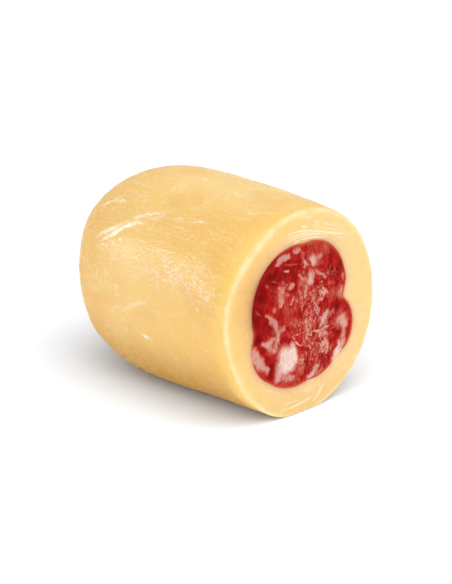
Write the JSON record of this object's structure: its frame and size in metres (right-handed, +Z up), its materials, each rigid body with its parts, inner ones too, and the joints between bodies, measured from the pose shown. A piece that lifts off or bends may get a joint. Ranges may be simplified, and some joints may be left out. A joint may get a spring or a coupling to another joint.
{
  "type": "stuffed caciocavallo cheese half",
  "caption": "Half of a caciocavallo cheese log stuffed with salami, lying on its side: rounded end at the back, flat cut face showing red fat-flecked salami ringed by pale cheese.",
  "frame": {"origin": "middle of the bounding box, on the flat strip of the underside that the log lies on", "axes": "+X along the log from its rounded end towards its cut face, +Z up, +Y to the right as seen facing the cut"},
  "size_m": [0.1336, 0.1022, 0.1019],
  "materials": {
    "cheese": "waxy satin skin, smooth creamy cut",
    "salami": "moist cut meat marbled with fat"
  },
  "bodies": {
    "root": {"cheese": "cheese", "salami": "salami"}
  },
  "joints": []
}
